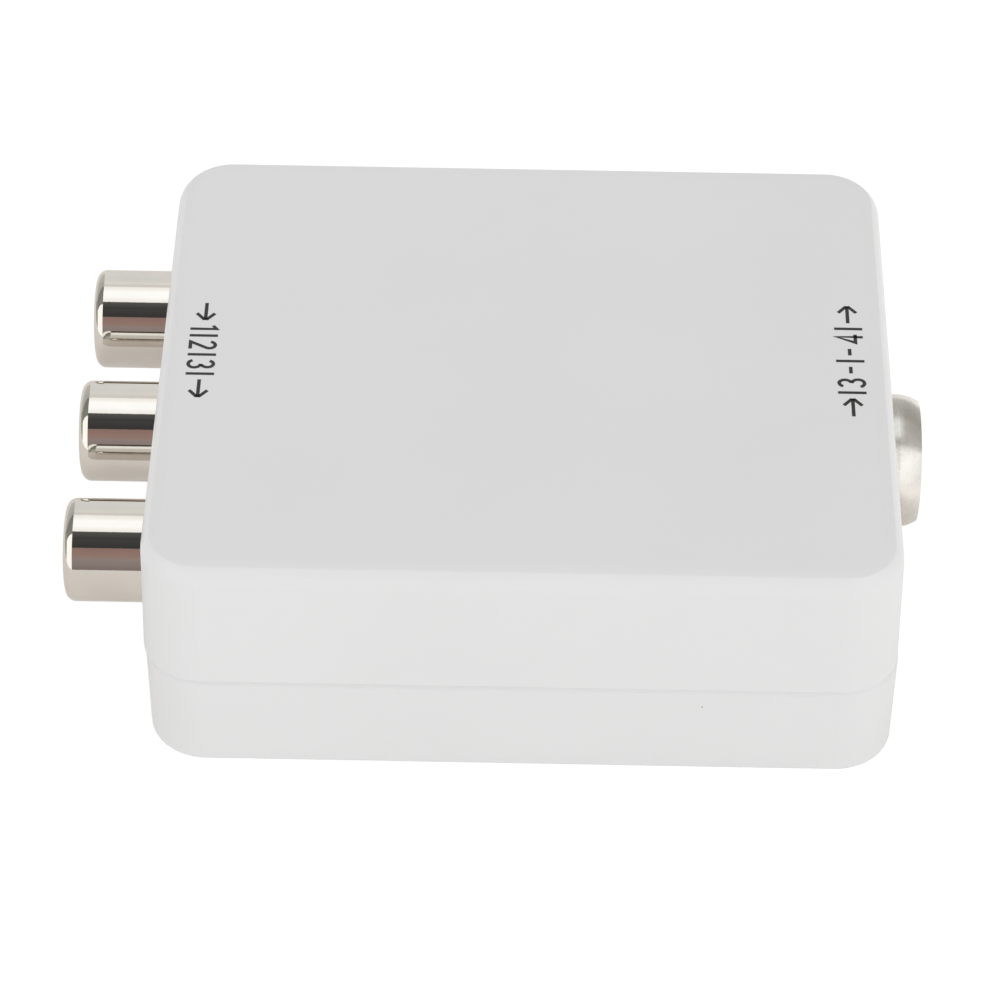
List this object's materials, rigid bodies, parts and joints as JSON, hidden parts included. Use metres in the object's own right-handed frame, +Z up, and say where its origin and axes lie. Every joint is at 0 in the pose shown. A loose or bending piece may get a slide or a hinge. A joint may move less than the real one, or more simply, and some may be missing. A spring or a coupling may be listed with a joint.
{
  "type": "rf modulator",
  "caption": "Small white plastic converter box: phono jacks for picture and sound on one side, an aerial socket on the other, a power inlet and a channel slide switch at the back.",
  "frame": {"origin": "middle of the housing's underside, on the surface it stands on", "axes": "+X towards the aerial socket, +Y towards the power inlet at the back, +Z up"},
  "size_m": [0.069, 0.052, 0.021],
  "materials": {
    "white_abs": "satin",
    "board_green": "satin solder mask",
    "zinc_steel": "bright zinc",
    "black_plastic": "matte",
    "bright_nickel": "polished",
    "satin_nickel": "satin",
    "yellow_plastic": "gloss",
    "white_plastic": "gloss",
    "red_plastic": "gloss",
    "ivory_plastic": "satin",
    "gold_brass": "satin",
    "tinned_sheet": "satin",
    "brown_phenolic": "matte",
    "slider_black": "satin",
    "chip_black": "matte",
    "bare_aluminium": "satin",
    "ferrite_grey": "matte",
    "enamel_wire": "enamelled",
    "ceramic_tan": "matte"
  },
  "bodies": {
    "housing": {"top_cover": "white_abs", "bottom_cover": "white_abs", "circuit_board": "board_green", "board_screws": "zinc_steel", "av_jack_block": "black_plastic", "video_jack_barrel": "bright_nickel", "left_jack_barrel": "bright_nickel", "right_jack_barrel": "bright_nickel", "video_jack_insulator": "yellow_plastic", "left_jack_insulator": "white_plastic", "right_jack_insulator": "red_plastic", "video_jack_contact": "gold_brass", "left_jack_contact": "gold_brass", "right_jack_contact": "gold_brass", "jack_ground_tails": "tinned_sheet", "aerial_socket_block": "black_plastic", "aerial_sleeve": "satin_nickel", "aerial_insulator": "ivory_plastic", "aerial_centre_contact": "gold_brass", "aerial_strap": "tinned_sheet", "power_inlet_shell": "tinned_sheet", "power_inlet_tongue": "black_plastic", "power_inlet_contacts": "gold_brass", "switch_frame": "tinned_sheet", "switch_base": "brown_phenolic", "switch_terminals": "gold_brass", "shield_can": "tinned_sheet", "modulator_chip": "chip_black", "modulator_chip_leads": "tinned_sheet", "buffer_chip": "chip_black", "buffer_chip_leads": "tinned_sheet", "crystal_can": "tinned_sheet", "capacitor_cans": "bare_aluminium", "capacitor_bases": "black_plastic", "regulator_body": "chip_black", "regulator_leads": "tinned_sheet", "choke_core": "ferrite_grey", "choke_winding": "enamel_wire", "ceramic_capacitors": "ceramic_tan", "chip_resistors": "chip_black"},
    "channel_slider": {"switch_slider": "slider_black", "switch_wiper": "gold_brass"}
  },
  "joints": [
    {"name": "channel_switch_slide", "type": "slide", "parent": "housing", "child": "channel_slider", "axis": [1, 0, 0], "range_m": [0, 0.002]}
  ]
}
